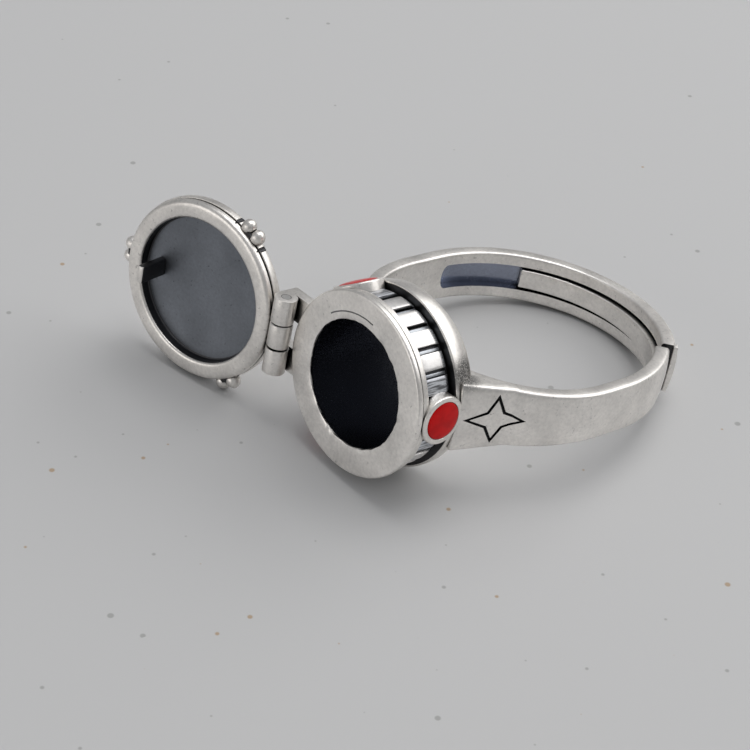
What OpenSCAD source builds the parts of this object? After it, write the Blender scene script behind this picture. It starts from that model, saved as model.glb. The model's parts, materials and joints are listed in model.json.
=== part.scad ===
// Poison ring: an adjustable silver finger ring with a round box and a hinged lid.
// The ring is drawn about its own finger hole and then laid on the table as it rests by itself.
// Ring axes: the finger goes along Z, the box points to -Y and the hinge is on the -X side.
// Depths are measured from the middle of the finger hole towards the front of the box.

/* [Finger hole] */
// Radius of the two arcs of the oval finger hole
hole_r = 8.6; // [8:0.1:9.6]
// Length of the straight sides between the two arcs
hole_straight = 1.9; // [1:0.1:2.6]

/* [Band] */
// Thickness of the band in its middle
band_t = 1.12; // [1:0.05:1.5]
// Width of the band along the finger, behind the shoulders
band_w = 3.42; // [2.9:0.02:4]
// Radius of the arc on which each edge of the band spreads towards the box
spread_r = 80; // [60:1:140]
// Radius of the crowned outer face, across the band
crown_r = 9; // [7:0.5:20]
// Direction in which a shoulder leaves the arc of the band for its straight foot, in degrees
foot_deg = 50; // [46:1:56]
// How far the foot stands out past the edge of the base flange
foot_out = 0.05; // [0.02:0.01:0.1]
// How far the foot laps over the straight edge of the base flange
foot_lap = 0.15; // [0.05:0.05:0.2]
// Direction of the open end, from the box, in degrees
open_deg = 133; // [120:1:145]
// Gap between the two ends of the band
end_gap = 0.15; // [0.1:0.01:0.4]

/* [Sliding overlap] */
// How far the outer end has moved out of the circle of the band
spiral = 0.26; // [0.2:0.01:0.35]
// Direction in which the tongue ends, from the box, in degrees
tongue_deg = 227; // [190:1:240]
// Thickness of the tongue
tongue_t = 0.65; // [0.5:0.05:0.7]
// Width of the tongue
tongue_w = 1.35; // [1:0.05:1.6]
// Space beside the tongue in its groove, on each side
tongue_gap = 0.22; // [0.1:0.01:0.4]
// Metal left behind the groove
groove_floor = 0.42; // [0.35:0.01:0.5]
// Direction in which the groove ends, from the box, in degrees
groove_deg = 267; // [250:1:272]
// How far the lip stands out at the open end
lip_t = 0.1; // [0.05:0.01:0.3]
// Length of the lip along the band
lip_l = 0.5; // [0.3:0.05:1]

/* [Box] */
// Depth of the front face of the box
front_d = 13.84; // [13.6:0.02:14.6]
// Radius of the front plate and of the base flange
box_r = 6; // [5.8:0.02:6.05]
// Thickness of the front plate
plate_t = 0.38; // [0.25:0.01:0.6]
// How far the front plate reaches in over the hollow, all round the mouth
mouth_lip = 0.41; // [0.2:0.01:0.7]
// Thickness of the wall between its dark ground and the hollow
wall_t = 0.65; // [0.55:0.01:0.85]
// Depth of the hollow below the front face
hollow_h = 4.05; // [3.5:0.05:4.2]
// Width and depth of the fine groove behind the front plate
seam = 0.1; // [0.06:0.01:0.2]
// Length of the collar behind the fine groove
collar_l = 0.42; // [0.3:0.02:0.7]
// How far the collar lies below the front plate's edge
collar_drop = 0.1; // [0.05:0.01:0.2]
// Length of the tiled wall, its dark groove with it
wall_l = 2.26; // [2:0.05:2.5]
// How far the wall lies below the front plate's edge
wall_drop = 0.8; // [0.7:0.05:0.9]
// How far the rounded base draws in behind the flange
base_round = 1; // [0.6:0.05:1.3]
// Length of the straight edge of the base flange
base_edge_l = 0.4; // [0.2:0.05:0.6]
// Length of the rounded base behind the flange, before the finger hole is cut
base_l = 1.5; // [1.2:0.05:1.8]
// How far the dots and tiles are turned round the box, in degrees
box_turn = 3; // [0:0.5:5]

/* [Tiles] */
// Tiles between two neighbouring dots
tiles_n = 6; // [3:1:6]
// Angle from one tile to the next
tile_pitch = 15.5; // [13:0.5:16]
// Angle that one tile takes
tile_deg = 10.8; // [8:0.2:12]
// Height of a tile above the wall
tile_h = 0.44; // [0.3:0.02:0.6]
// Height of a tile's back end, where its slope starts
tile_back_h = 0.15; // [0.05:0.01:0.25]
// Length of the slope at the back end of a tile
tile_slope = 0.5; // [0.2:0.05:0.8]
// Length of the black groove between the tiles and the base
tile_groove = 0.3; // [0.2:0.05:0.5]
// Angle that the thin rib between two tiles takes
rib_deg = 1.5; // [1:0.1:2.5]
// Height of a rib above the wall
rib_h = 0.26; // [0.15:0.01:0.4]

/* [Enamel dots] */
// Depth of the middle of the dots
dot_d = 11.78; // [11.7:0.02:11.9]
// Radius of a bezel
bezel_r = 1.62; // [1.5:0.02:1.66]
// How far a bezel stands out past the box's edge
bezel_proud = 0.1; // [0.02:0.01:0.3]
// Radius of the cup that holds the enamel
cup_r = 1.27; // [1:0.01:1.35]
// Depth of the cup
cup_h = 0.4; // [0.3:0.02:0.5]
// Gap round the enamel
enamel_gap = 0.02; // [0.01:0.005:0.04]

/* [Shoulder figure] */
// Direction of the figure's middle, from the box, in degrees
star_at = 44; // [40:1:50]
// Half of the star's length along the band
star_l = 1.75; // [1.2:0.05:1.9]
// Half of the star's width across the band
star_w = 1.55; // [1:0.05:1.7]
// Radius of the star's inner corners
star_waist = 0.72; // [0.6:0.02:0.85]
// Width of the engraved line
line_w = 0.2; // [0.12:0.01:0.26]
// Depth of the engraved line
line_h = 0.14; // [0.08:0.01:0.2]

/* [Hinge] */
// How far the hinge pin lies outside the box's edge
pin_out = 0.87; // [0.85:0.01:1.2]
// How far the pin lies in front of the box's face
pin_ahead = 0.39; // [0.3:0.01:0.45]
// Radius of the knuckles
knuckle_r = 0.75; // [0.65:0.01:0.78]
// Length of the lid's knuckle
knuckle_l = 1.7; // [1.3:0.05:2]
// Length of the whole hinge
hinge_l = 5.4; // [4.6:0.1:6]
// Gap between two knuckles
knuckle_gap = 0.1; // [0.06:0.01:0.15]
// Radius of the pin
pin_r = 0.3; // [0.25:0.01:0.4]
// Running clearance round the pin
pin_gap = 0.03; // [0.02:0.005:0.05]
// Length of the box's leaf behind the pin
leaf_l = 1.1; // [0.8:0.05:1.4]
// How far the box's leaf is let into the wall
leaf_sunk = 0.35; // [0.2:0.05:0.5]
// How far the lid's leaf lies below the outside of its knuckle
leaf_inset = 0.25; // [0.1:0.05:0.4]

/* [Lid] */
// Angle by which the lid stands open
lid_open = 168.1; // [150:0.1:170]
// Gap between the lid and the box when it is shut
lid_gap = 0.08; // [0.06:0.01:0.14]
// How far the lid's rim stands out past the box's edge
rim_past = 0.08; // [0.02:0.01:0.1]
// Width of the lid's rim round its dish
rim_w = 1.18; // [1.1:0.01:1.5]
// Depth of the dish
dish_h = 0.75; // [0.5:0.05:0.9]
// Thickness of the rim in front of the seam
rim_t = 0.5; // [0.4:0.05:0.6]
// How far the outer plate stands out past the box's edge
cover_past = 0.15; // [0.1:0.01:0.18]
// Thickness of the outer plate at its edge
cover_t = 0.7; // [0.6:0.05:0.9]
// Width of the slope along the outer plate's edge
cover_bevel = 0.25; // [0.1:0.05:0.4]
// How far the dome stands above the outer plate
dome_h = 0.4; // [0.2:0.05:0.8]
// How far the dome's foot lies inside the outer plate's edge
dome_inset = 0.65; // [0.5:0.05:1.1]

/* [Claws and catch] */
// How far the claws reach past the outer plate's edge
claw_out = 0.85; // [0.7:0.05:1]
// Width of a claw
claw_w = 2; // [1.4:0.1:2.4]
// Height of a claw
claw_h = 1; // [0.7:0.05:1.2]
// Width of the notch beside and in a claw
notch_w = 0.4; // [0.3:0.05:0.6]
// Gap between the catch tab and the mouth's wall when the lid is shut
catch_gap = 0.23; // [0.2:0.01:0.4]
// Width of the catch tab
catch_w = 1.2; // [0.8:0.1:1.6]
// Thickness of the catch tab
catch_t = 0.55; // [0.4:0.05:0.8]
// How far the catch tab stands out past the rim
catch_h = 1.5; // [1:0.05:1.6]

/* [Hidden] */
$fn = 96;
// How deep soldered pieces are sunk into each other, and how far cuts run past what they cut
sunk = 0.05;
past = 1;
hole_c = hole_straight / 2;
band_r = hole_r + band_t;
far_hole_r = hole_r + spiral;
far_r = far_hole_r + band_t;
groove_r = far_r - groove_floor;
end_gap_deg = end_gap / band_r * 180 / PI;
lip_deg = lip_l / far_r * 180 / PI;
crown_drop = crown_r - sqrt(crown_r * crown_r - band_w * band_w / 4);
shoulder_w = 2 * box_r;

seam_d = front_d - plate_t;
collar_d = seam_d - seam;
tile_d = collar_d - collar_l;
flange_d = tile_d - wall_l;
base_foot_d = flange_d - base_edge_l;
base_d = base_foot_d - base_l;
wall_r = box_r - wall_drop;
hollow_r = wall_r - wall_t;
mouth_r = hollow_r - mouth_lip;
base_back_r = box_r - base_round;
bezel_top = box_r + bezel_proud;
dots_span = 120;
dot_at = [for (i = [0:2]) box_turn + i * dots_span];

foot_start = [band_r * sin(foot_deg), -hole_c - band_r * cos(foot_deg)];
foot_way = [box_r + foot_out, -base_foot_d - foot_lap] - foot_start;
foot_t = 1.5 * band_t;

pin_x = box_r + pin_out;
pin_d = front_d + pin_ahead;
shut_d = front_d + lid_gap;
knuckle_reach = pin_x + knuckle_r;
leaf_d = front_d - leaf_l;
leaf_foot_r = wall_r - leaf_sunk;
box_knuckle_l = (hinge_l - knuckle_l) / 2 - knuckle_gap;

rim_r = box_r + rim_past;
dish_r = rim_r - rim_w;
cover_r = box_r + cover_past;
cover_d = shut_d + rim_t + seam;
cover_top = cover_d + cover_t;
dome_r = cover_r - dome_inset;
claw_at = [0, 120, 240];
claw_reach = cover_r + claw_out;
claw_d = cover_top - claw_h;
catch_r = mouth_r - catch_gap;

// Places on the open lid, as [x, y] across the finger
function turn(p, deg) = [p[0] * cos(deg) - p[1] * sin(deg), p[0] * sin(deg) + p[1] * cos(deg)];
function opened(r, d) = [-pin_x, -pin_d] + turn([r + pin_x, pin_d - d], -lid_open);
function at_z(xy, z) = [xy[0], xy[1], z];
lid_way = at_z(turn([1, 0], -lid_open), 0);
claw_axis_r = claw_reach - claw_w / 2;
cover_middle = at_z(opened(0, cover_top - cover_bevel), 0);
low_claw = at_z(opened(claw_axis_r * cos(claw_at[2]), cover_top), claw_axis_r * sin(claw_at[2]));

// The ring lies on three places: the edge of the base flange, the lower edge of the band's back and
// the lid. up is the way up of the table in the ring's axes, with 1 as its Z part, and the levels are
// heights along it.
function round_level(up, middle, r) = up * middle - r * sqrt(pow(up * lid_way, 2) + 1);
function base_level(up) = -up[1] * base_foot_d - base_back_r * norm([up[0], 1])
    - norm([(box_r - base_back_r) * norm([up[0], 1]), base_l * up[1]]);
function back_level(up) = up * [spiral, hole_c, -band_w / 2] - (far_r - crown_drop) * norm([up[0], up[1]]);
function lid_level(up) = min(round_level(up, cover_middle, cover_r), round_level(up, low_claw, claw_w / 2));
function settled(up, n) = n == 0 ? up : settled([
    up[0] + (base_level(up) - lid_level(up)) / cover_middle[0],
    up[1] + (base_level(up) - back_level(up)) / (base_foot_d + hole_c + far_r), 1], n - 1);
up = settled([0, -0.2, 1], 30);
lean_x = atan(up[1]);
lean_y = -asin(up[0] / norm(up));

// The reach of the laid ring to each side, which centres it on the origin
function laid_x(p) = p * [cos(lean_y), sin(lean_y) * sin(lean_x), sin(lean_y) * cos(lean_x)];
function laid_y(p) = p * [0, cos(lean_x), -sin(lean_x)];
east = laid_x([band_r, hole_c, 0]);
west = laid_x(at_z(opened(claw_reach, cover_top), claw_w / 4));
north = laid_y([0, hole_c + far_r - crown_drop, band_w / 2]);
south = laid_y(at_z(opened(catch_r, shut_d - catch_h), -catch_w / 2));
shift = [-(east + west) / 2, -(north + south) / 2, -base_level(up) / norm(up)];

module laid() {
    translate(shift) rotate([lean_x, lean_y, 0]) children();
}

// A body turned about the box's middle line, with depth as its second coordinate
module on_box() {
    rotate([90, 0, 0]) children();
}

module box_disc(r, from_d, to_d) {
    on_box() translate([0, 0, from_d]) cylinder(r = r, h = to_d - from_d);
}

// Section of the band with its crowned outer face
module band_section(inner, outer, w) {
    intersection() {
        translate([inner, -w / 2]) square([outer - inner, w]);
        translate([outer - crown_r, 0]) circle(r = crown_r);
    }
}

// Piece of band round [cx, cy] between two directions from the box
module band_arc(cx, cy, from_deg, to_deg) {
    translate([cx, cy, 0]) rotate([0, 0, from_deg - 90])
        rotate_extrude(angle = to_deg - from_deg) children();
}

module band_side(side) {
    translate([0, hole_c, 0]) rotate([90, 0, 0]) linear_extrude(hole_straight)
        mirror([side < 0 ? 1 : 0, 0]) band_section(hole_r, band_r, shoulder_w);
}

// Straight foot of a shoulder, soldered on the edge of the base flange. Its inner side ends inside
// the band, and its face can be lowered.
module foot(low) {
    difference() {
        translate(at_z(foot_start, 0)) rotate([0, 0, atan2(foot_way[1], foot_way[0]) + 90])
            translate([0, band_t / 3, 0]) rotate([90, 0, 0])
                linear_extrude(norm(foot_way) + band_t / 3) band_section(-foot_t, -low, shoulder_w);
        translate([0, -hole_c, -shoulder_w])
            cylinder(r = hole_r + band_t / 2, h = 2 * shoulder_w);
    }
}

module near_end() {
    band_arc(0, hole_c, 90, open_deg) band_section(hole_r, band_r, shoulder_w);
    band_arc(0, hole_c, open_deg - past, tongue_deg)
        translate([hole_r, -tongue_w / 2]) square([tongue_t, tongue_w]);
}

module far_end() {
    far_deg = open_deg + end_gap_deg;
    difference() {
        union() {
            band_arc(spiral, hole_c, 90, 270) band_section(far_hole_r, far_r, shoulder_w);
            band_arc(spiral, hole_c, far_deg - past, far_deg + lip_deg)
                band_section(far_hole_r, far_r + lip_t, band_w);
        }
        translate([spiral, hole_c, 0]) rotate([0, 0, far_deg - 90])
            translate([-shoulder_w, -2 * shoulder_w, -shoulder_w]) cube(2 * shoulder_w);
        band_arc(spiral, hole_c, far_deg - past, groove_deg)
            translate([far_hole_r - past, -tongue_w / 2 - tongue_gap])
                square([groove_r - far_hole_r + past, tongue_w + 2 * tongue_gap]);
    }
}

// Removes what lies outside the band's edges, which run straight behind the middle of the finger
// hole and spread on an arc towards the box
module edge_cuts() {
    reach = 2 * box_r;
    for (side = [-1, 1]) {
        translate([-reach, 0, side > 0 ? band_w / 2 : -band_w / 2 - reach])
            cube([2 * reach, 2 * reach, reach]);
        intersection() {
            translate([-reach, 0, side * (band_w / 2 + spread_r)]) rotate([0, 90, 0])
                cylinder(r = spread_r, h = 2 * reach, $fn = 360);
            translate([-reach, -2 * reach, side > 0 ? 0 : -reach]) cube([2 * reach, 2 * reach, reach]);
        }
    }
}

module star(grow) {
    polygon([for (i = [0:7]) let (a = i * 45)
        i % 2 == 1 ? (star_waist + grow) * [cos(a), sin(a)]
        : i % 4 == 0 ? [(star_l + 2 * grow) * cos(a), 0]
        : [0, (star_w + 2 * grow) * sin(a)]]);
}

// Engraved line of the star, as deep as line_h below the crowned face of a shoulder
module star_cut(side) {
    mirror([side < 0 ? 1 : 0, 0, 0]) intersection() {
        translate([0, -hole_c, 0]) rotate([0, 0, star_at - 90]) rotate([90, 0, 90])
            translate([0, 0, hole_r]) linear_extrude(3 * band_t) difference() {
                star(line_w / 2);
                star(-line_w / 2);
            }
        difference() {
            translate([0, -hole_c, 0])
                cylinder(r = band_r + 2 * past, h = shoulder_w, center = true);
            translate([0, -hole_c, 0])
                rotate_extrude() band_section(0, band_r - line_h, shoulder_w);
            foot(line_h);
        }
    }
}

module band() {
    difference() {
        union() {
            band_arc(0, -hole_c, -90, 90) band_section(hole_r, band_r, shoulder_w);
            band_side(1);
            band_side(-1);
            near_end();
            far_end();
            foot(0);
            mirror([1, 0, 0]) foot(0);
        }
        edge_cuts();
        star_cut(1);
        star_cut(-1);
    }
}

// Wall of the box in section: base flange, dark groove, wall, collar, fine groove and front plate
module box_wall() {
    collar_r = box_r - collar_drop;
    on_box() rotate_extrude() polygon(concat(
        [[0, base_d]],
        [for (a = [0:15:90]) [base_back_r + (box_r - base_back_r) * sin(a),
            base_foot_d - (base_foot_d - base_d) * cos(a)]],
        [[box_r, flange_d], [wall_r, flange_d], [wall_r, tile_d], [collar_r, tile_d],
        [collar_r, collar_d], [collar_r - seam, collar_d], [collar_r - seam, seam_d],
        [box_r, seam_d], [box_r, front_d], [0, front_d]]));
}

module tile(at) {
    on_box() rotate([0, 0, at - tile_deg / 2]) rotate_extrude(angle = tile_deg) polygon([
        [wall_r - sunk, flange_d + tile_groove], [wall_r + tile_back_h, flange_d + tile_groove],
        [wall_r + tile_h, flange_d + tile_groove + tile_slope], [wall_r + tile_h, tile_d + sunk],
        [wall_r - sunk, tile_d + sunk]]);
}

module rib(at) {
    on_box() rotate([0, 0, at - rib_deg / 2]) rotate_extrude(angle = rib_deg)
        translate([wall_r - sunk, flange_d + tile_groove])
            square([rib_h + sunk, tile_d + sunk - flange_d - tile_groove]);
}

module tiles() {
    for (dot = dot_at) {
        middle = dot + dots_span / 2;
        for (i = [0:tiles_n - 1]) tile(middle + (i - (tiles_n - 1) / 2) * tile_pitch);
        for (i = [1:tiles_n - 1]) rib(middle + (i - tiles_n / 2) * tile_pitch);
    }
}

// Round bar that stands out of the box's side through a dot's middle
module at_dot(at, r, from_r, to_r) {
    on_box() rotate([0, 0, at]) translate([0, 0, dot_d]) rotate([0, 90, 0])
        translate([0, 0, from_r]) cylinder(r = r, h = to_r - from_r);
}

module box_knuckles() {
    for (side = [-1, 1]) {
        z0 = side > 0 ? hinge_l / 2 - box_knuckle_l : -hinge_l / 2;
        translate([-pin_x, -pin_d, z0]) cylinder(r = knuckle_r, h = box_knuckle_l);
        translate([-knuckle_reach, -pin_d, z0])
            cube([knuckle_r, pin_d - leaf_d, box_knuckle_l]);
        translate([-knuckle_reach, -seam_d, z0])
            cube([knuckle_reach - leaf_foot_r, seam_d - leaf_d, box_knuckle_l]);
    }
}

module shank_box() {
    color("gainsboro") laid() difference() {
        union() {
            band();
            difference() {
                union() {
                    box_wall();
                    tiles();
                    for (at = dot_at) at_dot(at, bezel_r, hollow_r + sunk, bezel_top);
                    box_knuckles();
                }
                for (y = [-hole_c, hole_c]) translate([0, y, -box_r - past])
                    cylinder(r = hole_r, h = 2 * (box_r + past));
            }
        }
        for (at = dot_at) at_dot(at, cup_r, bezel_top - cup_h, bezel_top + past);
        box_disc(hollow_r, front_d - hollow_h, seam_d);
        box_disc(mouth_r, front_d - hollow_h, front_d + past);
        translate([-pin_x, -pin_d, -hinge_l]) cylinder(r = pin_r + pin_gap, h = 2 * hinge_l);
    }
}

// One drop of enamel, slightly domed, in its cup
module enamel(i) {
    color("firebrick") laid() on_box() rotate([0, 0, dot_at[i - 1]]) translate([0, 0, dot_d])
        rotate([0, 90, 0]) rotate_extrude() intersection() {
            translate([0, bezel_top - cup_h + enamel_gap]) square([cup_r - enamel_gap, cup_h]);
            circle(r = bezel_top);
        }
}

module hinge_pin() {
    color("silver") laid() translate([-pin_x, -pin_d, -hinge_l / 2]) cylinder(r = pin_r, h = hinge_l);
}

module lid_plate() {
    dome_ball = (dome_r * dome_r + dome_h * dome_h) / (2 * dome_h);
    on_box() rotate_extrude() polygon([
        [0, shut_d], [rim_r, shut_d], [rim_r, shut_d + rim_t], [rim_r - 2 * seam, shut_d + rim_t],
        [rim_r - 2 * seam, cover_d], [cover_r, cover_d], [cover_r, cover_top - cover_bevel],
        [cover_r - cover_bevel, cover_top], [0, cover_top]]);
    intersection() {
        on_box() translate([0, 0, cover_top + dome_h - dome_ball]) sphere(r = dome_ball, $fn = 180);
        box_disc(dome_r, cover_top - sunk, cover_top + 2 * dome_h);
    }
}

module claw(at) {
    on_box() rotate([0, 0, at]) difference() {
        union() {
            translate([claw_reach - claw_w / 2, 0, claw_d]) cylinder(r = claw_w / 2, h = claw_h);
            translate([dish_r, -claw_w / 2, claw_d])
                cube([claw_reach - claw_w / 2 - dish_r, claw_w, claw_h]);
        }
        translate([claw_reach, 0, claw_d - past]) cylinder(r = notch_w / 2, h = claw_h + 2 * past);
    }
}

module claw_notches(at) {
    for (side = [-1, 1]) on_box() rotate([0, 0, at])
        translate([cover_r, side * (claw_w + notch_w) / 2, cover_d - past])
            cylinder(r = notch_w / 2, h = cover_t + 2 * past);
}

module lid_knuckle() {
    translate([-pin_x, -pin_d, -knuckle_l / 2]) cylinder(r = knuckle_r, h = knuckle_l);
    translate([-knuckle_reach + leaf_inset, -cover_top + cover_bevel, -knuckle_l / 2])
        cube([knuckle_reach - leaf_inset - dome_r, cover_top - cover_bevel - pin_d, knuckle_l]);
}

module catch_tab() {
    intersection() {
        translate([catch_r - catch_t, -shut_d - dish_h - sunk, -catch_w / 2])
            cube([catch_t, dish_h + sunk + catch_h, catch_w]);
        box_disc(catch_r, shut_d - catch_h, shut_d + dish_h + sunk);
    }
}

// The shut lid, turned open about the hinge pin
module lid() {
    color("lightgray") laid() translate([-pin_x, -pin_d, 0]) rotate([0, 0, -lid_open])
        translate([pin_x, pin_d, 0]) {
            difference() {
                union() {
                    difference() {
                        lid_plate();
                        box_disc(dish_r, shut_d - past, shut_d + dish_h);
                    }
                    for (at = claw_at) claw(at);
                    lid_knuckle();
                }
                for (at = claw_at) claw_notches(at);
                box_disc(dish_r, shut_d - past, shut_d + dish_h);
                translate([-pin_x, -pin_d, -hinge_l]) cylinder(r = pin_r + pin_gap, h = 2 * hinge_l);
            }
            catch_tab();
        }
}

shank_box();
enamel(1);  // enamel_1
enamel(2);  // enamel_2
enamel(3);  // enamel_3
hinge_pin();
lid();
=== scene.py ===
# Poison ring lying on its side with its lid open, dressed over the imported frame.
import math
import json
import bpy
from mathutils import Matrix, Vector


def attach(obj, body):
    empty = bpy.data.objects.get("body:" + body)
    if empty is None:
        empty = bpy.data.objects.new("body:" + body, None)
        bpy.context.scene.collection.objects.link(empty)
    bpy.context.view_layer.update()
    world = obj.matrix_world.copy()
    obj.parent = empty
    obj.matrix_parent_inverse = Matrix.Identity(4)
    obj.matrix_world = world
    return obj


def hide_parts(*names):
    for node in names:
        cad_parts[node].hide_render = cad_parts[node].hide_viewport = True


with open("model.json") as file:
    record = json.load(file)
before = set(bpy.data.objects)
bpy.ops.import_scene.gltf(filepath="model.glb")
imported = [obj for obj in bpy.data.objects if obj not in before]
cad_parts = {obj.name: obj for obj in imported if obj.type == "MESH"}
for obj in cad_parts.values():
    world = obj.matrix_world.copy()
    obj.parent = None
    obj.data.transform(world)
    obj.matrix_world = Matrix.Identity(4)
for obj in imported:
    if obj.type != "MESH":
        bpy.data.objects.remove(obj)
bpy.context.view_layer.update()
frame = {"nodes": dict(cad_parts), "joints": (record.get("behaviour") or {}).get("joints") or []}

# ---- Camera, table and light
# The ring lies on a plain pale table with a few grey and brown specks, under soft light from above and
# behind. It is seen from above its box side, from a place that was fitted to the photograph.

camera = bpy.data.objects.new("camera", bpy.data.cameras.new("camera"))
bpy.context.scene.collection.objects.link(camera)
bpy.context.scene.camera = camera
camera.location = (0.082768, -0.079756, 0.093823)
camera.rotation_euler = [math.radians(a) for a in (50.268, -3.5521, 50.2016)]
camera.data.sensor_width = 36
camera.data.lens = 105.6
camera.data.clip_start, camera.data.clip_end = 0.01, 5
bpy.context.scene.view_settings.view_transform = "Standard"


def added(kind, name, **sizes):
    """Adds a primitive, with nothing else selected."""
    bpy.ops.object.select_all(action="DESELECT")
    getattr(bpy.ops.mesh, "primitive_" + kind + "_add")(**sizes)
    bpy.context.object.name = name
    return bpy.context.object


def joined(tree, kind, *feeds, **settings):
    """Adds a node, sets it and feeds its inputs: each feed is a socket, a value or None."""
    node = tree.nodes.new("ShaderNode" + kind)
    for key, value in settings.items():
        setattr(node, key, value)
    for i, feed in enumerate(feeds):
        if isinstance(feed, bpy.types.NodeSocket):
            tree.links.new(feed, node.inputs[i])
        elif feed is not None:
            node.inputs[i].default_value = feed
    return node


table = added("plane", "table", size=1.6)
stone = bpy.data.materials.new("pale_table")
stone.use_nodes = True
shader = stone.node_tree.nodes["Principled BSDF"]
shader.inputs["Roughness"].default_value = 0.75
specks = stone.node_tree
on_stone = joined(specks, "TexCoord").outputs["Object"]
cells = joined(specks, "TexVoronoi", on_stone, voronoi_dimensions="2D")
cells.inputs["Scale"].default_value = 400
chance = joined(specks, "SeparateColor", cells.outputs["Color"])
# The specks lie denser towards the front.
forward = joined(specks, "VectorMath", on_stone, (0.77, -0.64, 0), operation="DOT_PRODUCT").outputs["Value"]
rarity = joined(specks, "MapRange", forward, -0.02, 0.01, 0.94, 0.79).outputs[0]
spot_r = joined(specks, "MapRange", chance.outputs["Red"], rarity, 1.0, 0.0, 0.10).outputs[0]
edge = joined(specks, "Math", spot_r, cells.outputs["Distance"], operation="SUBTRACT").outputs[0]
spot = joined(specks, "MapRange", edge, 0.0, 0.035, 0.0, 0.6).outputs[0]
kinds = joined(specks, "ValToRGB", chance.outputs["Green"])
kinds.color_ramp.interpolation = "CONSTANT"
kinds.color_ramp.elements[0].color = (0.26, 0.26, 0.25, 1)
kinds.color_ramp.elements[1].position = 0.74
kinds.color_ramp.elements[1].color = (0.36, 0.19, 0.03, 1)
speckled = joined(specks, "MixRGB", spot, (0.56, 0.56, 0.56, 1), kinds.outputs[0])
specks.links.new(speckled.outputs[0], shader.inputs["Base Color"])
table.data.materials.append(stone)

world = bpy.data.worlds.new("soft_room")
bpy.context.scene.world = world
world.use_nodes = True
air = world.node_tree
upwards = joined(air, "SeparateXYZ", joined(air, "TexCoord").outputs["Generated"]).outputs["Z"]
fade = joined(air, "ValToRGB", upwards)
fade.color_ramp.elements[0].color = (0.27, 0.27, 0.27, 1)
fade.color_ramp.elements[1].color = (0.41, 0.42, 0.44, 1)
air.links.new(fade.outputs[0], air.nodes["Background"].inputs["Color"])


def soft_box(name, place, width, height, watts, tint):
    light = bpy.data.objects.new(name, bpy.data.lights.new(name, "AREA"))
    bpy.context.scene.collection.objects.link(light)
    light.data.shape = "RECTANGLE"
    light.data.size, light.data.size_y = width, height
    light.data.energy = watts
    light.data.color = tint
    light.location = place
    light.rotation_euler = (-Vector(place)).to_track_quat("-Z", "Y").to_euler()


soft_box("window", (0.10, 0.40, 0.30), 0.70, 0.36, 1.18, (1.0, 0.99, 0.98))
soft_box("overhead", (-0.02, 0.12, 0.50), 0.32, 0.32, 0.88, (1.0, 0.99, 0.98))
soft_box("front_card", (-0.10, -0.42, 0.11), 0.36, 0.20, 0.28, (1.0, 0.97, 0.94))

# ---- Band
# One strip of silver bent round the finger and crowned outside. It spreads into two shoulders that
# are soldered under the box, and its ends overlap behind so that it can be bent to size.

pin_x, pin_y = -6.87, -14.23
joint = frame["joints"][0]
ring_z = Vector(joint["axis"]).normalized()
ring_x = Vector((ring_z.z, 0, -ring_z.x)).normalized()
ring_axes = Matrix((ring_x, ring_z.cross(ring_x), ring_z)).transposed()
finger_middle = Vector(joint["pos_m"]) - ring_axes @ Vector((pin_x, pin_y, 0)) * 0.001
on_table = Matrix.Translation(finger_middle) @ ring_axes.to_4x4() @ Matrix.Scale(0.001, 4)


def socket(group, way, kind, name, value=None):
    """Gives a node group one input or output."""
    made = group.interface.new_socket(name=name, in_out=way, socket_type="NodeSocket" + kind)
    if value is not None:
        made.default_value = value


def clamped(tree, operation, *feeds):
    """A sum, difference, product or maximum that stays between 0 and 1."""
    return joined(tree, "Math", *feeds, operation=operation, use_clamp=True).outputs[0]


def blended(tree, share, low, high):
    """Mixes two colours by a mask."""
    mix = tree.nodes.new("ShaderNodeMix")
    mix.data_type = "RGBA"
    for name, feed in (("Factor_Float", share), ("A_Color", low), ("B_Color", high)):
        into = next(s for s in mix.inputs if s.identifier == name)
        if isinstance(feed, bpy.types.NodeSocket):
            tree.links.new(feed, into)
        else:
            into.default_value = feed
    return next(s for s in mix.outputs if s.identifier == "Result_Color")


def ramped(tree, feed, start, end):
    """A mask that rises from 0 to 1 between two values of its feed."""
    return joined(tree, "MapRange", feed, start, end, 0.0, 1.0, interpolation_type="SMOOTHSTEP").outputs[0]


def noise(tree, place, scale, detail, rough=0.5):
    node = joined(tree, "TexNoise", place)
    node.inputs["Scale"].default_value = scale
    node.inputs["Detail"].default_value = detail
    node.inputs["Roughness"].default_value = rough
    return node.outputs["Fac"]


# Worn, oxidised silver: satin where hands rub it, black where the oxide stays. For some finishes its rubbed
# colour is a painted sheen. Place is in millimetres.
worn = bpy.data.node_groups.new("worn_silver", "ShaderNodeTree")
socket(worn, "INPUT", "Vector", "Place")
socket(worn, "INPUT", "Color", "Rubbed", (0.8, 0.78, 0.75, 1))
socket(worn, "INPUT", "Color", "Oxide", (0.02, 0.02, 0.022, 1))
socket(worn, "INPUT", "Float", "Oxide Share", 0.0)
socket(worn, "INPUT", "Float", "Crevice Share", 0.8)
socket(worn, "INPUT", "Float", "Specks", 0.5)
socket(worn, "INPUT", "Float", "Streaks", 0.0)
socket(worn, "INPUT", "Float", "Smoothness", 0.6)
socket(worn, "INPUT", "Vector", "Smudge At", (0, 0, 1000))
for name, kind in (("Color", "Color"), ("Roughness", "Float"), ("Height", "Float")):
    socket(worn, "OUTPUT", kind, name)
given = worn.nodes.new("NodeGroupInput").outputs
cloud = noise(worn, given["Place"], 0.45, 3)
grain = noise(worn, given["Place"], 11, 4, 0.65)
pits = ramped(worn, noise(worn, given["Place"], 3.4, 5, 0.6), 0.62, 0.72)
mottle = noise(worn, given["Place"], 4.5, 3, 0.6)
along = joined(worn, "VectorMath", given["Place"], (1, 0.08, 1), operation="MULTIPLY").outputs[0]
brushed = ramped(worn, noise(worn, along, 9, 2, 0.5), 0.42, 0.62)
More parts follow.
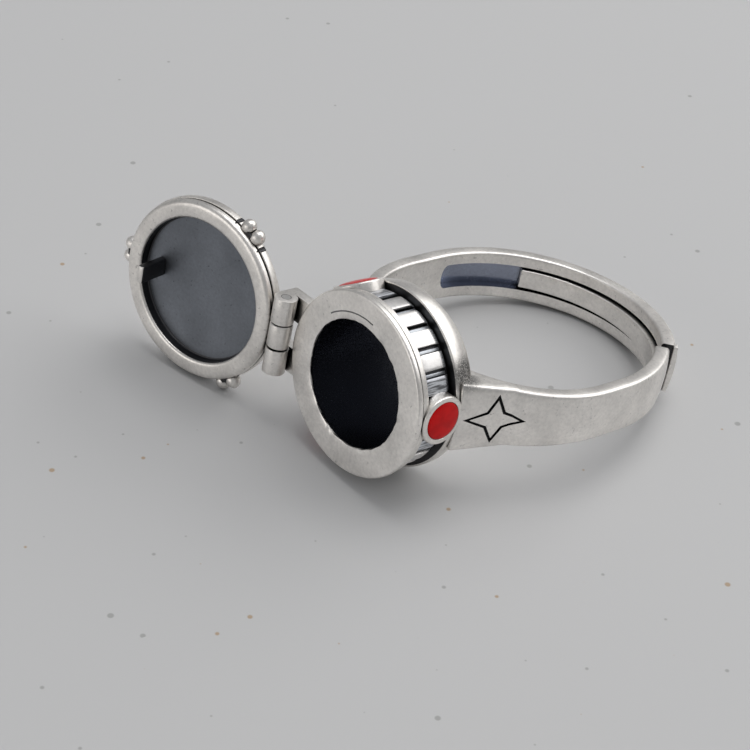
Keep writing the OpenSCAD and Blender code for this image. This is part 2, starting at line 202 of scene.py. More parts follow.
open_sky = joined(worn, "AmbientOcclusion", None, 0.0006, samples=8).outputs["AO"]
crevice = clamped(worn, "MULTIPLY", ramped(worn, open_sky, 0.72, 0.25), given["Crevice Share"])
ragged = clamped(worn, "ADD", given["Oxide Share"], clamped(worn, "MULTIPLY", grain, given["Oxide Share"]))
apart = joined(worn, "VectorMath", given["Place"], given["Smudge At"], operation="DISTANCE").outputs["Value"]
smudge = clamped(worn, "MULTIPLY", ramped(worn, apart, 1.5, 0.5), ramped(worn, grain, 0.3, 0.55))
dark = clamped(worn, "MAXIMUM", crevice, ramped(worn, ragged, 0.1, 1.3))
for mask, share in ((pits, clamped(worn, "MULTIPLY", given["Specks"], 0.55)),
                    (brushed, given["Streaks"]), (smudge, 0.85)):
    dark = clamped(worn, "MAXIMUM", dark, clamped(worn, "MULTIPLY", mask, share))
shade = given["Rubbed"]
for patches, low, high in ((cloud, 0.86, 1.08), (mottle, 0.90, 1.06)):
    value = joined(worn, "MapRange", patches, 0.3, 0.7, low, high).outputs[0]
    shade = joined(worn, "HueSaturation", None, None, value, None, shade).outputs[0]
shade = blended(worn, dark, shade, given["Oxide"])
rough = joined(worn, "MapRange", grain, 0.3, 0.75, 0.36, 0.52).outputs[0]
rough = clamped(worn, "SUBTRACT", clamped(worn, "ADD", rough, clamped(worn, "MULTIPLY", cloud, 0.12)),
                clamped(worn, "MULTIPLY", given["Smoothness"], 0.22))
raised = clamped(worn, "ADD", clamped(worn, "MULTIPLY", grain, 0.5), clamped(worn, "MULTIPLY", cloud, 0.4))
taken = worn.nodes.new("NodeGroupOutput").inputs
for name, feed in (("Color", shade), ("Roughness", rough), ("Height", raised)):
    worn.links.new(feed, taken[name])


def silver(name, way=Matrix(), bump=0.012, **values):
    """A silver finish whose pattern is set out in the piece's own axes, in millimetres."""
    made = bpy.data.materials.new(name)
    made.use_nodes = True
    tree = made.node_tree
    shader = tree.nodes["Principled BSDF"]
    shader.inputs["Metallic"].default_value = 1.0
    place = joined(tree, "Mapping", joined(tree, "TexCoord").outputs["Object"], vector_type="TEXTURE")
    axes = on_table @ way
    place.inputs["Location"].default_value = axes.translation
    place.inputs["Rotation"].default_value = axes.to_euler()
    place.inputs["Scale"].default_value = (0.001, 0.001, 0.001)
    finish = tree.nodes.new("ShaderNodeGroup")
    finish.node_tree = worn
    tree.links.new(place.outputs[0], finish.inputs["Place"])
    for key, value in values.items():
        finish.inputs[key.replace("_", " ")].default_value = value
    tree.links.new(finish.outputs["Color"], shader.inputs["Base Color"])
    tree.links.new(finish.outputs["Roughness"], shader.inputs["Roughness"])
    relief = joined(tree, "Bump")
    relief.inputs["Strength"].default_value = 0.6
    relief.inputs["Distance"].default_value = bump * 0.001
    tree.links.new(finish.outputs["Height"], relief.inputs["Height"])
    tree.links.new(relief.outputs[0], shader.inputs["Normal"])
    return made


handled = dict(bump=0.024, Specks=0.65, Crevice_Share=1.0)
# Dark values for oxide. They also serve as painted shade in the gap at the open end, on the dish's wall and
# on the catch.
oxide_and_painted_shade = dict(Oxide_Share=0.9, Rubbed=(0.30, 0.30, 0.31, 1), Smoothness=0.4)
satin = silver("satin_silver", Rubbed=(0.90, 0.87, 0.83, 1), Smudge_At=(5.3, -9.8, 2.8), **handled)
blackened = silver("blackened_silver", **oxide_and_painted_shade)
# The groove darkens near its walls with oxide and painted shade, and its floor is a painted bluish
# reflection.
groove_oxide_and_painted_sheen = silver("groove_silver_painted_sheen", Oxide_Share=0.35, Crevice_Share=1.0,
                       Rubbed=(0.42, 0.46, 0.57, 1), Smoothness=1.2)

hole_r, hole_c, band_t, band_w, crown_r, spread_r = 8.6, 0.95, 1.12, 3.42, 9, 80
far_hole_r, spiral, near_end_deg, far_end_deg = 8.86, 0.26, 131.3, 133.66
near_c, far_c, box_c = Vector((0, hole_c, 0)), Vector((spiral, hole_c, 0)), Vector((0, -hole_c, 0))


def held(piece):
    """Selects one piece and nothing else."""
    bpy.ops.object.select_all(action="DESELECT")
    bpy.context.view_layer.objects.active = piece
    piece.select_set(True)


def picked(piece, test):
    """Selects, in edit mode, the vertices whose place passes the test."""
    bpy.ops.mesh.select_mode(type="VERT")
    bpy.ops.mesh.select_all(action="DESELECT")
    bpy.ops.object.mode_set(mode="OBJECT")
    for v in piece.data.vertices:
        v.select = bool(test(v.co))
    bpy.ops.object.mode_set(mode="EDIT")


def turned_by(deg, centre=(0, 0, 0)):
    """Turns what is selected about the finger's direction, counter-clockwise. With no window, a
    positive value turns the other way."""
    bpy.ops.transform.rotate(value=-math.radians(deg), orient_axis="Z", center_override=centre)


def fixed(piece, kind, **settings):
    """Adds a modifier and applies it."""
    held(piece)
    mod = piece.modifiers.new(kind.lower(), kind)
    for key, value in settings.items():
        setattr(mod, key, value)
    bpy.ops.object.modifier_apply(modifier=mod.name)


def eased_edges(piece, width, segments=3, angle=30):
    fixed(piece, "BEVEL", width=width, segments=segments, limit_method="ANGLE",
          angle_limit=math.radians(angle))


def dressed(piece, *finishes):
    """Gives a piece its finishes: the first all over, and each other one on the faces it tests for,
    by their distance from the box's middle line and their depth."""
    piece.data.materials.clear()
    for i, (material, test) in enumerate(finishes):
        piece.data.materials.append(material)
        for face in piece.data.polygons:
            if i == 0 or test(math.hypot(face.center.x, face.center.z), -face.center.y):
                face.material_index = i


def cut_by(piece, cutter, finish=None):
    """Cuts a piece. The faces that the cutter leaves take the finish."""
    cutter.data.materials.clear()
    if finish:
        cutter.data.materials.append(finish)
    fixed(piece, "BOOLEAN", operation="DIFFERENCE", object=cutter, solver="MANIFOLD",
          material_mode="TRANSFER" if finish else "INDEX")
    bpy.data.objects.remove(cutter)


def closed_up(piece):
    """Merges doubled vertices and points every face outwards."""
    held(piece)
    bpy.ops.object.mode_set(mode="EDIT")
    bpy.ops.mesh.select_all(action="SELECT")
    bpy.ops.mesh.remove_doubles(threshold=0.0005)
    bpy.ops.mesh.normals_make_consistent(inside=False)
    bpy.ops.object.mode_set(mode="OBJECT")


def placed(piece, way):
    """Puts a piece in its place, and the place into its mesh."""
    held(piece)
    piece.matrix_world = way
    bpy.ops.object.transform_apply(location=True, rotation=True, scale=True)
    return piece


def rod(name, radius, length, way, sides):
    return placed(added("cylinder", name, vertices=sides, radius=radius, depth=length), way)


def mirrored(piece, axis):
    """A copy of a piece on the other side of the ring's middle."""
    held(piece)
    bpy.ops.object.duplicate()
    copy = placed(bpy.context.object, Matrix.Scale(-1, 4, axis))
    closed_up(copy)
    return copy


def united(piece, *others):
    """Makes pieces one mesh, in the first."""
    held(piece)
    for other in others:
        other.select_set(True)
    bpy.ops.object.join()


def laid(piece, body, material=None, way=Matrix()):
    """Lays on the table a piece that was made in the ring's axes, in millimetres."""
    placed(piece, on_table @ way)
    bpy.ops.object.shade_smooth_by_angle(angle=math.radians(35))
    if material:
        dressed(piece, (material, None))
    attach(piece, body)
    return piece


def half_width(y):
    """Half of the band's width, which spreads on an arc towards the box."""
    return band_w / 2 + (spread_r - math.sqrt(spread_r ** 2 - y ** 2) if y < 0 else 0)


def section(name, inner, outer, width, columns=1, crown=None):
    """A strip's cross-section, standing on the +X side, crowned on its outer side."""
    piece = added("grid", name, x_subdivisions=columns, y_subdivisions=2 if crown else 1, size=1)
    placed(piece, Matrix(((0, outer - inner, 0, (inner + outer) / 2), (0, 0, 1, 0),
                          (width, 0, 0, 0), (0, 0, 0, 1))))
    bpy.ops.object.mode_set(mode="EDIT")
    if crown:
        for i in range(columns + 1):
            z = (i / columns - 0.5) * width
            picked(piece, lambda co: co.x > outer - 0.01 and abs(co.z - z) < 0.01)
            bpy.ops.transform.translate(value=(math.sqrt(crown ** 2 - z ** 2) - crown, 0, 0))
    bpy.ops.mesh.select_all(action="SELECT")
    return piece


def bent(centre, from_deg, to_deg, r=0.0):
    """Draws the selected section out round a centre, 3 degrees at a time. With r, its width follows
    the band's."""
    steps = math.ceil((to_deg - from_deg) / 3)
    for i in range(steps):
        was, now = [centre[1] - r * math.cos(math.radians(from_deg + (to_deg - from_deg) * k / steps))
                    for k in (i, i + 1)]
        bpy.ops.mesh.extrude_region()
        turned_by((to_deg - from_deg) / steps, centre)
        if r:
            bpy.ops.transform.resize(value=(1, 1, half_width(now) / half_width(was)),
                                     center_override=(0, 0, 0))


def drawn_on(y0, y1):
    """Draws the selected section straight on, in three steps. Its width follows the band's."""
    for i in range(3):
        was, now = [y0 + (y1 - y0) * k / 3 for k in (i, i + 1)]
        bpy.ops.mesh.extrude_region()
        bpy.ops.transform.translate(value=(0, now - was, 0))
        bpy.ops.transform.resize(value=(1, 1, half_width(now) / half_width(was)),
                                 center_override=(0, 0, 0))


def strip(name, centre, from_deg, to_deg, inner, outer, width, columns=1, crown=None):
    """A bent strip between two directions, with its last corners left selected."""
    piece = section(name, inner, outer, width, columns, crown)
    bpy.ops.transform.translate(value=centre)
    turned_by(from_deg - 90, centre)
    bent(centre, from_deg, to_deg)
    bpy.ops.object.mode_set(mode="OBJECT")
    return piece


band = section("band", far_hole_r, far_hole_r + band_t, band_w, 12, crown_r)
bpy.ops.transform.translate(value=far_c)
turned_by(far_end_deg - 90, far_c)
bent(far_c, far_end_deg, 270)
drawn_on(hole_c, -hole_c)
bent(box_c, 270, 450, hole_r + band_t / 2)
drawn_on(-hole_c, hole_c)
bent(near_c, 90, near_end_deg)
bpy.ops.object.mode_set(mode="OBJECT")
closed_up(band)
eased_edges(band, 0.17)

# Each shoulder leaves the arc for a straight foot that lies flush on the box's base flange.
foot_turn, hole_sides = math.radians(50), 256
across = 16  # wider than the ring, so that a cutter goes right through it
foot_start = box_c + (hole_r + band_t) * Vector((math.sin(foot_turn), -math.cos(foot_turn), 0))
foot_end = Vector((6.05, -10.54, 0))
foot_way = foot_end - foot_start
foot_back = foot_way.normalized() * band_t / 3
foot_root = foot_start - foot_back
foot = section("foot", -1.5 * band_t, 0, 2 * half_width(foot_root.y), 12, crown_r)
turned_by(math.degrees(math.atan2(foot_way.y, foot_way.x)) + 90)
bpy.ops.transform.translate(value=foot_root)
bpy.ops.mesh.extrude_region()
bpy.ops.transform.translate(value=foot_way + foot_back)
bpy.ops.transform.resize(value=(1, 1, half_width(foot_end.y) / half_width(foot_root.y)),
                         center_override=(0, 0, 0))
bpy.ops.object.mode_set(mode="OBJECT")
closed_up(foot)
eased_edges(foot, 0.17)
cut_by(foot, rod("inner_hole", hole_r + band_t / 2, across, Matrix.Translation(box_c), hole_sides))
for piece in (foot, mirrored(foot, (1, 0, 0))):
    fixed(band, "BOOLEAN", operation="UNION", object=piece, solver="MANIFOLD")
    bpy.data.objects.remove(piece)
dressed(band, (satin, None))

# Both faces of the gap at the open end are black: partly oxide, as they are never rubbed, and partly painted
# shade of the narrow gap.
slot = strip("slot", near_c, near_end_deg - 0.1, far_end_deg + 0.1, hole_r - 1, hole_r + band_t + 1,
             band_w + 1)
closed_up(slot)
cut_by(band, slot, blackened)

# The groove for the tongue was milled, so its far end is round. Its faces take oxide, painted shade near its
# walls and a painted bluish reflection on its floor.
groove_w, groove_r, groove_deg = 1.79, 9.56, 267
groove = strip("groove", far_c, far_end_deg - 1, groove_deg, far_hole_r - 1, groove_r, groove_w)
tip = [v.co.copy() for v in groove.data.vertices if v.select]
bpy.ops.object.mode_set(mode="EDIT")
for side in (-1, 1):
    picked(groove, lambda co: co.z * side > 0 and any((co - t).length < 0.01 for t in tip))
    bpy.ops.mesh.bevel(offset=0.8, segments=6, affect="EDGES")
bpy.ops.object.mode_set(mode="OBJECT")
closed_up(groove)
cut_by(band, groove, groove_oxide_and_painted_sheen)


def outline(name, places):
    """Draws a line through places by extruding a single vertex, and stays in edit mode."""
    piece = added("plane", name, size=1)
    bpy.ops.object.mode_set(mode="EDIT")
    bpy.ops.mesh.select_all(action="SELECT")
    bpy.ops.mesh.merge(type="CENTER")
    bpy.ops.mesh.select_all(action="SELECT")
    bpy.ops.transform.translate(value=places[0])
    for was, now in zip(places, places[1:]):
        bpy.ops.mesh.extrude_vertices_move(TRANSFORM_OT_translate={"value": Vector(now) - Vector(was)})
    return piece


def filled(name, places):
    """A flat face with a given outline, left selected in edit mode."""
    piece = outline(name, places)
    bpy.ops.mesh.select_all(action="SELECT")
    bpy.ops.mesh.edge_face_add()
    return piece


# The four-pointed star on each shoulder is one engraved line that follows the band's face.
star_at, star_l, star_w, star_waist, line_w, line_h = 44, 1.75, 1.55, 0.72, 0.2, 0.14


def star_edge(name, grow):
    """One edge of the engraved line, drawn flat: the outer edge is grown and the inner one shrunk."""
    reach = (star_l + 2 * grow, star_waist + grow, star_w + 2 * grow, star_waist + grow)
    turns = [math.radians(45 * i) for i in range(8)]
    piece = filled(name, [(0, reach[i % 4] * math.cos(a), reach[i % 4] * math.sin(a))
                          for i, a in enumerate(turns)])
    bpy.ops.mesh.delete(type="ONLY_FACE")
    bpy.ops.object.mode_set(mode="OBJECT")
    return piece


star = star_edge("star", line_w / 2)
united(star, star_edge("inner_star", -line_w / 2))
bpy.ops.object.mode_set(mode="EDIT")
bpy.ops.mesh.select_all(action="SELECT")
bpy.ops.mesh.subdivide(number_cuts=5)
bpy.ops.mesh.bridge_edge_loops()
bpy.ops.mesh.select_all(action="SELECT")
bpy.ops.transform.translate(value=(hole_r + 3 * band_t, 0, 0))
bpy.ops.object.mode_set(mode="OBJECT")
star.matrix_world = Matrix.Translation(box_c) @ Matrix.Rotation(math.radians(star_at - 90), 4, "Z")
fixed(star, "SHRINKWRAP", target=band, wrap_method="PROJECT", use_project_x=True,
      use_negative_direction=True, use_positive_direction=False)
bpy.ops.object.mode_set(mode="EDIT")
bpy.ops.mesh.select_all(action="SELECT")
into_metal = star.matrix_world.to_3x3() @ Vector((1, 0, 0))
bpy.ops.transform.translate(value=-line_h * into_metal)
bpy.ops.mesh.extrude_region()
bpy.ops.transform.translate(value=band_t * into_metal)
bpy.ops.object.mode_set(mode="OBJECT")
placed(star, star.matrix_world.copy())
closed_up(star)
engraved = silver("engraved_black", Oxide_Share=1.0, Rubbed=(0.02, 0.02, 0.02, 1), Smoothness=0.0,
                  Specks=0.0)
for cutter in (star, mirrored(star, (1, 0, 0))):
    cut_by(band, cutter, engraved)

# The floor of the box's hollow is flat, so the band's crown is cut away over it.
hollow_r, hollow_floor, hollow_cut = 4.55, 9.79, 4
upright = Matrix.Rotation(math.radians(90), 4, "X")
under_box = rod("under_box", hollow_r + 0.05, hollow_cut,
                Matrix.Translation((0, -(hollow_floor - 0.09) - hollow_cut / 2, 0)) @ upright, 64)
cut_by(band, under_box)
laid(band, "ring")
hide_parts("shank_box")

# The thin tongue goes on from the near end and slides in the groove of the far end.
tongue_deg, tongue_t, tongue_w = 227, 0.65, 1.35
tongue = strip("tongue", near_c, near_end_deg - 1.5, tongue_deg, hole_r + 0.01, hole_r + tongue_t,
               tongue_w, 4)
closed_up(tongue)
eased_edges(tongue, 0.09)
laid(tongue, "ring", satin)

# A low lip is left across the outer face of the far end.
lip_deg, lip_root, lip_h = 2.87, 0.8, 0.1
end_lip = strip("end_lip", far_c, far_end_deg - 0.06, far_end_deg + lip_deg, far_hole_r + lip_root,
                far_hole_r + band_t + lip_h, band_w, 12, crown_r)
closed_up(end_lip)
eased_edges(end_lip, 0.1)
laid(end_lip, "ring", satin)

# ---- Box
# A turned cup of silver with a round mouth in its front plate, a fine seam behind the plate, a collar,
# a blackened wall and a rounded base that is cut to the finger hole and soldered on the band.

front_d, mouth_r, box_r, wall_r = 13.84, 4.14, 6.0, 5.2
seam_d, collar_front_d, collar_back_d, flange_d, foot_d, base_d = 13.46, 13.36, 12.94, 10.68, 10.28, 8.78


def eased(corners, steps=4):
    """Rounds corners of an outline: each is (place, place, how far back the rounding starts)."""
    line = []
    for i, (x, y, ease) in enumerate(corners):
        here = Vector((x, y))
        if ease == 0:
            line.append(here)
            continue
        a = here + (Vector(corners[i - 1][:2]) - here).normalized() * ease
        b = here + (Vector(corners[(i + 1) % len(corners)][:2]) - here).normalized() * ease
        line += [(1 - t) ** 2 * a + 2 * t * (1 - t) * here + t ** 2 * b
                 for t in [k / steps for k in range(steps + 1)]]
    return line


def lathed(name, corners, steps):
    """Turns an outline of radii and depths round the box's middle line."""
    piece = outline(name, [(p.x, -p.y, 0) for p in eased(corners)])
    bpy.ops.mesh.select_all(action="SELECT")
    bpy.ops.mesh.spin(steps=steps, angle=2 * math.pi, center=(0, 0, 0), axis=(0, 1, 0))
    bpy.ops.object.mode_set(mode="OBJECT")
    closed_up(piece)
    return piece


seam_r, collar_r, turning_steps = box_r - 0.2, box_r - 0.1, 128
base_curve = [(box_r - 1 + math.sin(a), foot_d - (foot_d - base_d) * math.cos(a), 0)
              for a in [math.radians(deg) for deg in range(75, -1, -15)]]
box = lathed("box", [(0, hollow_floor, 0), (hollow_r, hollow_floor, 0), (hollow_r, seam_d, 0.05),
                     (mouth_r, seam_d, 0.05), (mouth_r, front_d, 0.08), (box_r, front_d, 0.17),
                     (box_r, seam_d, 0.07), (seam_r, seam_d, 0), (seam_r, collar_front_d, 0),
                     (collar_r, collar_front_d, 0.06), (collar_r, collar_back_d, 0.07),
                     (wall_r, collar_back_d, 0.04), (wall_r, flange_d, 0.04), (box_r, flange_d, 0.12),
                     (box_r, foot_d, 0)] + base_curve + [(0, base_d, 0)], turning_steps)
# The mouth was sawn and filed by hand, so its edge isn't a true circle.
bpy.ops.object.mode_set(mode="EDIT")
picked(box, lambda co: abs(math.hypot(co.x, co.z) - mouth_r) < 0.1 and -co.y > seam_d + 0.02)
bpy.ops.transform.vertex_random(offset=0.11, uniform=0.0, normal=0.0, seed=4)
bpy.ops.mesh.vertices_smooth(factor=0.5, repeat=2)
bpy.ops.object.mode_set(mode="OBJECT")
cut_by(box, rod("finger", hole_r + 0.03, across, Matrix.Translation(box_c), hole_sides))
inside = silver("box_inside", Oxide_Share=1.0, Rubbed=(0.10, 0.11, 0.13, 1), Smoothness=1.0, Specks=0.2,
                Oxide=(0.12, 0.125, 0.145, 1))
dressed(box, (satin, None),
        (blackened, lambda r, d: collar_back_d - 0.03 > d > flange_d and r < box_r - 0.05
         or seam_d > d > collar_front_d and r > hollow_r + 0.1),
        (inside, lambda r, d: r < hollow_r + 0.1 and hollow_floor - 0.1 < d < front_d - 0.1))
# A thin arc was scratched in the plate over the mouth.
scratch_r, scratch_w, scratch_h, scratch_start_deg, scratch_end_deg = 4.63, 0.09, 0.04, 172, 222
scratch = strip("scratch", Vector((0, 0, 0)), scratch_start_deg, scratch_end_deg,
                scratch_r - scratch_w / 2, scratch_r + scratch_w / 2, 2 * scratch_h)
closed_up(scratch)
placed(scratch, Matrix.Translation((0, -front_d, 0)) @ upright)
cut_by(box, scratch, silver("scratched_silver", Oxide_Share=0.5, Rubbed=(0.45, 0.45, 0.46, 1),
                            Smoothness=0.0))
laid(box, "ring")

# ---- Tiles
# Six small silver tiles stand in each gap between two dots, with a thin rib between each two. Their
# faces are rubbed bright and the grooves round them stay black.

box_turn, dots_span, tile_pitch, tile_deg, rib_deg, rib_shift_deg = 3, 120, 15.5, 10.8, 2.2, 0.7
row_root_r, row_front_d = wall_r - 0.05, 12.99
tile_back_d, tile_back_r, tile_face_d, tile_face_r = 10.78, 5.38, 11.2, 5.64
rib_back_d, rib_top_r = 10.98, wall_r + 0.26


def round_the_box(piece, degs):
    """Copies a piece from the box's +X side to each direction round the box, as one piece."""
    copies = []
    for deg in degs:
        held(piece)
        bpy.ops.object.duplicate()
        copies.append(placed(bpy.context.object, Matrix.Rotation(-math.radians(deg), 4, "Y")))
    name = piece.name
    bpy.data.objects.remove(piece)
    united(*copies)
    copies[0].name = name
    return copies[0]


def round_bar(name, corners, deg, steps):
    """A short bar with the given outline, bent round the box and centred on its +X side."""
    piece = filled(name, [(p.x, -p.y, 0) for p in eased(corners, 2)])
    bpy.ops.mesh.spin(steps=steps, angle=math.radians(deg), center=(0, 0, 0), axis=(0, 1, 0))
    bpy.ops.object.mode_set(mode="OBJECT")
    closed_up(piece)
    return placed(piece, Matrix.Rotation(math.radians(deg / 2), 4, "Y"))


tile = round_bar("tiles", [(row_root_r, tile_back_d, 0), (tile_back_r, tile_back_d, 0.03),
                           (tile_face_r, tile_face_d, 0.1), (tile_face_r, row_front_d, 0),
                           (row_root_r, row_front_d, 0)], tile_deg, 5)
eased_edges(tile, 0.05, 2, 50)
bright_tile = silver("bright_tile", bump=0.02, Specks=0.6, Crevice_Share=1.0, Rubbed=(0.80, 0.785, 0.77, 1))
dull_tile = silver("dull_tile", Oxide_Share=0.2, Crevice_Share=1.0, Rubbed=(0.78, 0.80, 0.84, 1), Specks=1.0,
                   Streaks=0.8, Smoothness=0.2)
# The tiles' back slopes take a lighter, bluish copy of the silver with little crevice darkening: a painted
# sheen for the light they catch, with real brushed streaks.
tile_slope_painted_sheen = silver("tile_slope_painted_sheen", Crevice_Share=0.1, Rubbed=(0.95, 0.98, 1.0, 1), Streaks=0.5, Smoothness=0.0)
held(tile)
bpy.ops.object.duplicate()
dull = bpy.context.object
dull.name = "dull_tiles"
dots = [box_turn + dots_span * i for i in range(3)]
gaps = [dot + dots_span / 2 for dot in dots]
dressed(tile, (bright_tile, None),
        (tile_slope_painted_sheen, lambda r, d: d < tile_face_d - 0.02 and r > tile_back_r + 0.01))
tiles = round_the_box(tile, [gap + i * tile_pitch for gap in gaps for i in (-1.5, -0.5, 0.5, 1.5)])
laid(tiles, "ring")
# The tile at each end of a row takes a duller, bluer, more streaked finish than the rest.
dull = round_the_box(dull, [gap + i * tile_pitch for gap in gaps for i in (-2.5, 2.5)])
laid(dull, "ring", dull_tile)

rib = round_bar("ribs", [(row_root_r, rib_back_d, 0), (rib_top_r, rib_back_d, 0.04),
                         (rib_top_r, row_front_d, 0), (row_root_r, row_front_d, 0)], rib_deg, 1)
eased_edges(rib, 0.03, 2, 50)
rib_finish = silver("rib_silver", Oxide_Share=0.3, Crevice_Share=0.8, Rubbed=(0.60, 0.63, 0.67, 1))
ribs = round_the_box(rib, [gap - rib_shift_deg + i * tile_pitch for gap in gaps for i in range(-2, 3)])
laid(ribs, "ring", rib_finish)

# ---- Dots
# Three round silver bezels are soldered into the wall. Each is a shallow cup that was filled with red
# enamel and fired, so the enamel stands in it as a low drop.

dot_d, bezel_r, cup_r, bezel_root, bezel_top, cup_h = 11.78, 1.62, 1.27, 4.9, 6.1, 0.4
into_wall = Matrix.Translation((0, -dot_d, 0)) @ Matrix.Rotation(math.radians(90), 4, "Z")
bezel = lathed("bezels", [(0, bezel_root, 0), (bezel_r, bezel_root, 0), (bezel_r, bezel_top, 0.13),
                          (cup_r, bezel_top, 0.06), (cup_r, bezel_top - cup_h, 0),
                          (0, bezel_top - cup_h, 0)], 64)
bezels = round_the_box(placed(bezel, into_wall), dots)
laid(bezels, "ring", satin)

red = bpy.data.materials.new("red_enamel")
red.use_nodes = True
tree = red.node_tree
shader = tree.nodes["Principled BSDF"]
shader.inputs["Roughness"].default_value = 0.3
shader.inputs["Specular IOR Level"].default_value = 0.12
shader.inputs["Coat Weight"].default_value = 0.08
shader.inputs["Coat Roughness"].default_value = 0.05
fired = noise(tree, joined(tree, "TexCoord").outputs["Object"], 1400, 3)
fired_red = blended(tree, ramped(tree, fired, 0.35, 0.7), (0.52, 0.001, 0.002, 1), (0.64, 0.003, 0.004, 1))
tree.links.new(fired_red, shader.inputs["Base Color"])

drop_r, drop_edge, drop_rise, drop_root = cup_r - 0.02, bezel_top - 0.03, 0.15, bezel_top - 0.38
drop_dome = [(drop_r * math.cos(a), drop_edge + drop_rise * math.sin(a), 0)
             for a in [math.radians(deg) for deg in range(0, 91, 10)]]
for i, dot in enumerate(dots):
    enamel = lathed("drop_" + str(i + 1), [(0, drop_root, 0), (drop_r, drop_root, 0)] + drop_dome, 64)
    placed(enamel, Matrix.Rotation(-math.radians(dot), 4, "Y") @ into_wall)
    laid(enamel, "ring", red)
    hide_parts("enamel_" + str(i + 1))

# ---- Hinge
# Two knuckles on a leaf that is soldered under the front plate, with a wire pin through them and
# through the lid's knuckle between them.

knuckle_r, knuckle_l, hinge_l, box_knuckle_l, bore_r = 0.75, 1.7, 5.4, 1.75, 0.33
leaf_x, leaf_y = -4.85, -12.74


def round_the_pin(from_deg, to_deg):
    """Corners of a knuckle's round side, 15 degrees apart."""
    steps = round(abs(to_deg - from_deg) / 15)
    turns = [math.radians(from_deg + (to_deg - from_deg) * i / steps) for i in range(steps + 1)]
    return [(pin_x + knuckle_r * math.cos(a), pin_y + knuckle_r * math.sin(a), 0) for a in turns]


def slab(name, corners, z0, z1):
    """A flat outline raised along the finger's direction."""
    piece = filled(name, [(p.x, p.y, z0) for p in eased(corners)])
    bpy.ops.mesh.extrude_region_move(TRANSFORM_OT_translate={"value": (0, 0, z1 - z0)})
    bpy.ops.object.mode_set(mode="OBJECT")
    closed_up(piece)
    return piece


def bored(piece):
    """Drills the hole for the pin."""
    cut_by(piece, rod("drill", bore_r, 2 * hinge_l, Matrix.Translation((pin_x, pin_y, 0)), 48))


knuckle = slab("box_knuckles", round_the_pin(180, 450) + [
    (leaf_x, -seam_d + 0.02, 0), (leaf_x, leaf_y, 0), (pin_x - knuckle_r, leaf_y, 0.12)],
    hinge_l / 2 - box_knuckle_l, hinge_l / 2)
eased_edges(knuckle, 0.13, 3, 40)
bored(knuckle)
united(knuckle, mirrored(knuckle, (0, 0, 1)))
laid(knuckle, "ring", satin)

pin_finish = silver("pin_silver", Specks=0.2, Rubbed=(0.70, 0.69, 0.67, 1))
pin = frame["nodes"]["hinge_pin"]
pin.data.materials.clear()
pin.data.materials.append(pin_finish)

# ---- Lid
# A flat rim round a shallow blackened dish, with an outer plate behind it that is held by three
# doubled claws. It stands open on its knuckle, and a tab inside its rim catches the box's mouth.

lid_turn = (Matrix.Translation((pin_x, pin_y, 0))
            @ Matrix.Rotation(-math.radians(joint["range_deg"][1]), 4, "Z")
            @ Matrix.Translation((-pin_x, -pin_y, 0)))
shut_d, dish_r, dish_h, rim_r, rim_t, cover_r, cover_t = 13.92, 4.9, 0.75, 6.08, 0.5, 6.15, 0.7
cover_d = shut_d + rim_t + 0.1
cover_top = cover_d + cover_t
rim_back_d, dish_d, fold_r = shut_d + rim_t, shut_d + dish_h, rim_r - 0.2
dome_r, dome_h = 5.5, 0.4
ball_r = (dome_r ** 2 + dome_h ** 2) / (2 * dome_h)
dome = [(r, cover_top + dome_h - ball_r + math.sqrt(ball_r ** 2 - r ** 2), 0)
        for r in (dome_r, 4.6, 3.7, 2.8, 1.9, 1.0, 0)]
lid = lathed("lid", [(0, dish_d, 0), (dish_r, dish_d, 0.12), (dish_r, shut_d, 0.26),
                     (rim_r, shut_d, 0.4), (rim_r, rim_back_d, 0.06), (fold_r, rim_back_d, 0),
                     (fold_r, cover_d, 0), (cover_r, cover_d, 0.07), (cover_r, cover_top, 0.3)] + dome,
             turning_steps)
lid_satin = silver("lid_satin", lid_turn, Rubbed=(0.86, 0.83, 0.79, 1), **handled)
lid_black = silver("lid_black", lid_turn, **oxide_and_painted_shade)
dish_finish = silver("dish_finish", lid_turn, Oxide_Share=0.1, Rubbed=(0.20, 0.215, 0.24, 1),
                     Smoothness=0.3, Specks=0.9, Crevice_Share=0.9)
# The dish's rounded wall is black all round: partly oxide, and partly painted shade, which also keeps a
# highlight off the wall.
dressed(lid, (lid_satin, None),
        (dish_finish, lambda r, d: r < dish_r - 0.1 and shut_d + 0.3 < d < dish_d + 0.01),
        (lid_black, lambda r, d: dish_r - 0.1 < r < dish_r + 0.02 and shut_d + 0.2 < d < dish_d + 0.01))

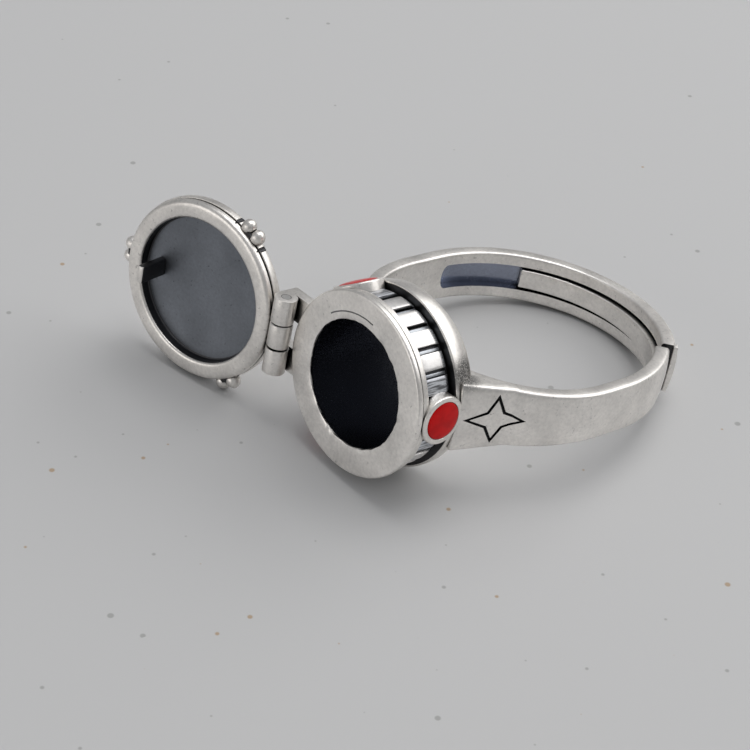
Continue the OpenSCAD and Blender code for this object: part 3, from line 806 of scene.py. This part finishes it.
# The plate's edge is notched on both sides of each claw.
claw_degs, notch_r, notch_side, notch_deg = (0, 120, 240), 0.2, 1.2, 22.1
notch = rod("notches", notch_r, 4, Matrix.Translation((cover_r, -cover_d - 1, notch_side)) @ upright, 24)
notches = round_the_box(notch, [at + side for at in claw_degs for side in (0, -notch_deg)])
cut_by(lid, notches, lid_black)
laid(lid, "lid", None, lid_turn)
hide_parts("lid")

# Each claw is two beads side by side, on a neck that stands out of the plate's edge.
bead_r, bead_out, bead_apart, bead_d = 0.49, 6.34, 0.45, cover_top - 0.5
claw = added("uv_sphere", "claws", segments=32, ring_count=16, radius=bead_r)
placed(claw, Matrix.Translation((bead_out, -bead_d, bead_apart)) @ Matrix.Diagonal((1.1, 1, 1, 1)))
united(claw, mirrored(claw, (0, 0, 1)))
claws = round_the_box(claw, claw_degs)
laid(claws, "lid", lid_satin, lid_turn)
neck_r, neck_root, neck_tip, neck_high, neck_low = dish_r + 0.3, 0.8, 0.55, 0.08, 0.92
neck = slab("claw_necks", [(neck_r, -neck_root, 0), (bead_out, -neck_tip, 0.1), (bead_out, neck_tip, 0.1),
                           (neck_r, neck_root, 0)], neck_high - cover_top, neck_low - cover_top)
necks = round_the_box(placed(neck, upright.inverted()), claw_degs)
laid(necks, "lid", lid_black, lid_turn)

lid_knuckle = slab("lid_knuckle", [(-dome_r, -cover_top + 0.25, 0)] + round_the_pin(270, 0)
                   + [(-dome_r, pin_y, 0)], -knuckle_l / 2, knuckle_l / 2)
eased_edges(lid_knuckle, 0.13, 3, 40)
bored(lid_knuckle)
laid(lid_knuckle, "lid", lid_satin, lid_turn)

# The catch's tip is rubbed bright by the mouth. The rest of it is black like the dish's edge: partly oxide,
# and partly painted shade for the catch's own shadow and reflection.
catch_r, catch_t, catch_w, catch_h = 3.91, 0.55, 1.2, 1.5
catch_back, catch_root, catch_tip = catch_r - catch_t, -dish_d - 0.05, -shut_d + catch_h
catch_tab = slab("catch_tab", [(catch_back, catch_root, 0), (catch_back, catch_tip, 0.2),
                               (catch_r, catch_tip, 0.2), (catch_r, catch_root, 0)],
                 -catch_w / 2, catch_w / 2)
eased_edges(catch_tab, 0.12, 3, 40)
dressed(catch_tab, (lid_black, None), (lid_satin, lambda r, d: d < shut_d - catch_h + 0.08))
laid(catch_tab, "lid", None, lid_turn)
